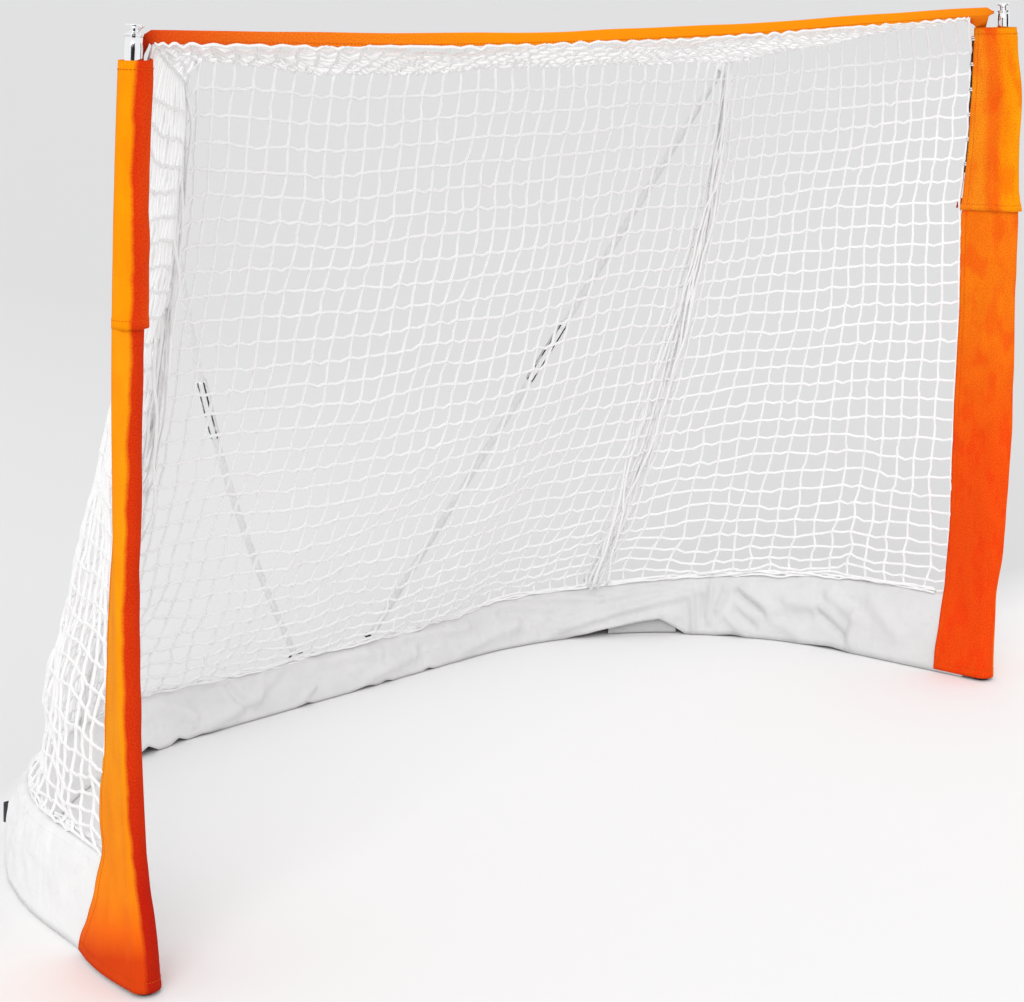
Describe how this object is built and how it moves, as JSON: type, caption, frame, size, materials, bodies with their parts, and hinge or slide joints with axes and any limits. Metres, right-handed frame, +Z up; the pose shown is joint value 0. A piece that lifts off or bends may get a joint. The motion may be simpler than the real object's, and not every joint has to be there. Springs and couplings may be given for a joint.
{
  "type": "roller hockey goal",
  "caption": "Portable roller hockey goal: plug-together steel base and uprights, bowed rear poles, hanging net, base skirt and padded fabric post sleeves.",
  "frame": {"origin": "on the floor under the middle of the goal's outer box", "axes": "+X along the goal line, +Y from the mouth to the rear of the net, +Z up"},
  "size_m": [1.9238, 0.8436, 1.251],
  "materials": {
    "chrome": "polished chrome plate on steel tube",
    "bright_steel": "bright spring steel",
    "black_steel": "black powder coat on steel tube",
    "black_rubber": "matt moulded rubber",
    "black_plastic": "matt moulded nylon",
    "white_fibreglass": "white pultruded fibreglass rod",
    "orange_fabric": "bright orange woven polyester, stitched hems",
    "maroon_tape": "dark maroon closure tape",
    "white_fabric": "white coated woven polyester",
    "white_cord": "white knotted net twine",
    "black_webbing": "black ribbed webbing"
  },
  "bodies": {
    "root": {"base_side_tube_left": "black_steel", "base_side_tube_right": "black_steel", "rear_bar": "black_steel", "base_spring_clip_left": "bright_steel", "base_spring_clip_right": "bright_steel", "post_foot_left": "black_rubber", "post_foot_right": "black_rubber", "pole_hub": "black_plastic", "hub_pad": "black_rubber", "pole_grommet_left": "black_plastic", "pole_grommet_right": "black_plastic", "skirt_left": "white_fabric", "skirt_right": "white_fabric", "skirt_rear": "white_fabric", "skirt_tab_left": "black_webbing", "skirt_tab_right": "black_webbing", "post_sleeve_left": "orange_fabric", "post_sleeve_right": "orange_fabric", "post_cuff_left": "orange_fabric", "post_cuff_right": "orange_fabric", "closure_tape_left": "maroon_tape", "closure_tape_right": "maroon_tape", "top_band": "orange_fabric", "net_back": "white_cord", "net_roof": "white_cord", "net_side_left": "white_cord", "net_side_right": "white_cord"},
    "upright_left": {"upright_lower_left": "chrome", "upright_upper_left": "chrome", "post_cap_left": "chrome", "upright_spring_clip_left": "bright_steel"},
    "upright_right": {"upright_lower_right": "chrome", "upright_upper_right": "chrome", "post_cap_right": "chrome", "upright_spring_clip_right": "bright_steel"},
    "upright_button_left": {"upright_button_left": "bright_steel"},
    "upright_button_right": {"upright_button_right": "bright_steel"},
    "pole_left": {"pole_lower_left": "white_fibreglass", "pole_upper_left": "white_fibreglass", "pole_ferrule_left": "chrome", "pole_tip_left": "black_rubber", "corner_pocket_left": "white_fabric"},
    "pole_right": {"pole_lower_right": "white_fibreglass", "pole_upper_right": "white_fibreglass", "pole_ferrule_right": "chrome", "pole_tip_right": "black_rubber", "corner_pocket_right": "white_fabric"},
    "base_button_left": {"base_button_left": "bright_steel"},
    "base_button_right": {"base_button_right": "bright_steel"}
  },
  "joints": [
    {"name": "upright_left_lift", "type": "slide", "parent": "root", "child": "upright_left", "axis": [-0.0266, 0, 0.9996], "range_m": [0, 0.04]},
    {"name": "upright_right_lift", "type": "slide", "parent": "root", "child": "upright_right", "axis": [0.0266, 0, 0.9996], "range_m": [0, 0.04]},
    {"name": "pole_left_pull", "type": "slide", "parent": "root", "child": "pole_left", "axis": [-0.5212, -0.219, 0.8249], "range_m": [0, 0.04]},
    {"name": "pole_right_pull", "type": "slide", "parent": "root", "child": "pole_right", "axis": [0.5212, -0.219, 0.8249], "range_m": [0, 0.04]},
    {"name": "upright_button_left_press", "type": "slide", "parent": "upright_left", "child": "upright_button_left", "axis": [0, -1, 0], "range_m": [0, 0.0035], "stiffness_N_per_m": 800, "springref_m": -0.002, "deforming": ["upright_spring_clip_left"]},
    {"name": "upright_button_right_press", "type": "slide", "parent": "upright_right", "child": "upright_button_right", "axis": [0, -1, 0], "range_m": [0, 0.0035], "stiffness_N_per_m": 800, "springref_m": -0.002, "deforming": ["upright_spring_clip_right"]},
    {"name": "base_button_left_press", "type": "slide", "parent": "root", "child": "base_button_left", "axis": [0, 0, -1], "range_m": [0, 0.0035], "stiffness_N_per_m": 800, "springref_m": -0.002, "deforming": ["base_spring_clip_left"]},
    {"name": "base_button_right_press", "type": "slide", "parent": "root", "child": "base_button_right", "axis": [0, 0, -1], "range_m": [0, 0.0035], "stiffness_N_per_m": 800, "springref_m": -0.002, "deforming": ["base_spring_clip_right"]}
  ]
}
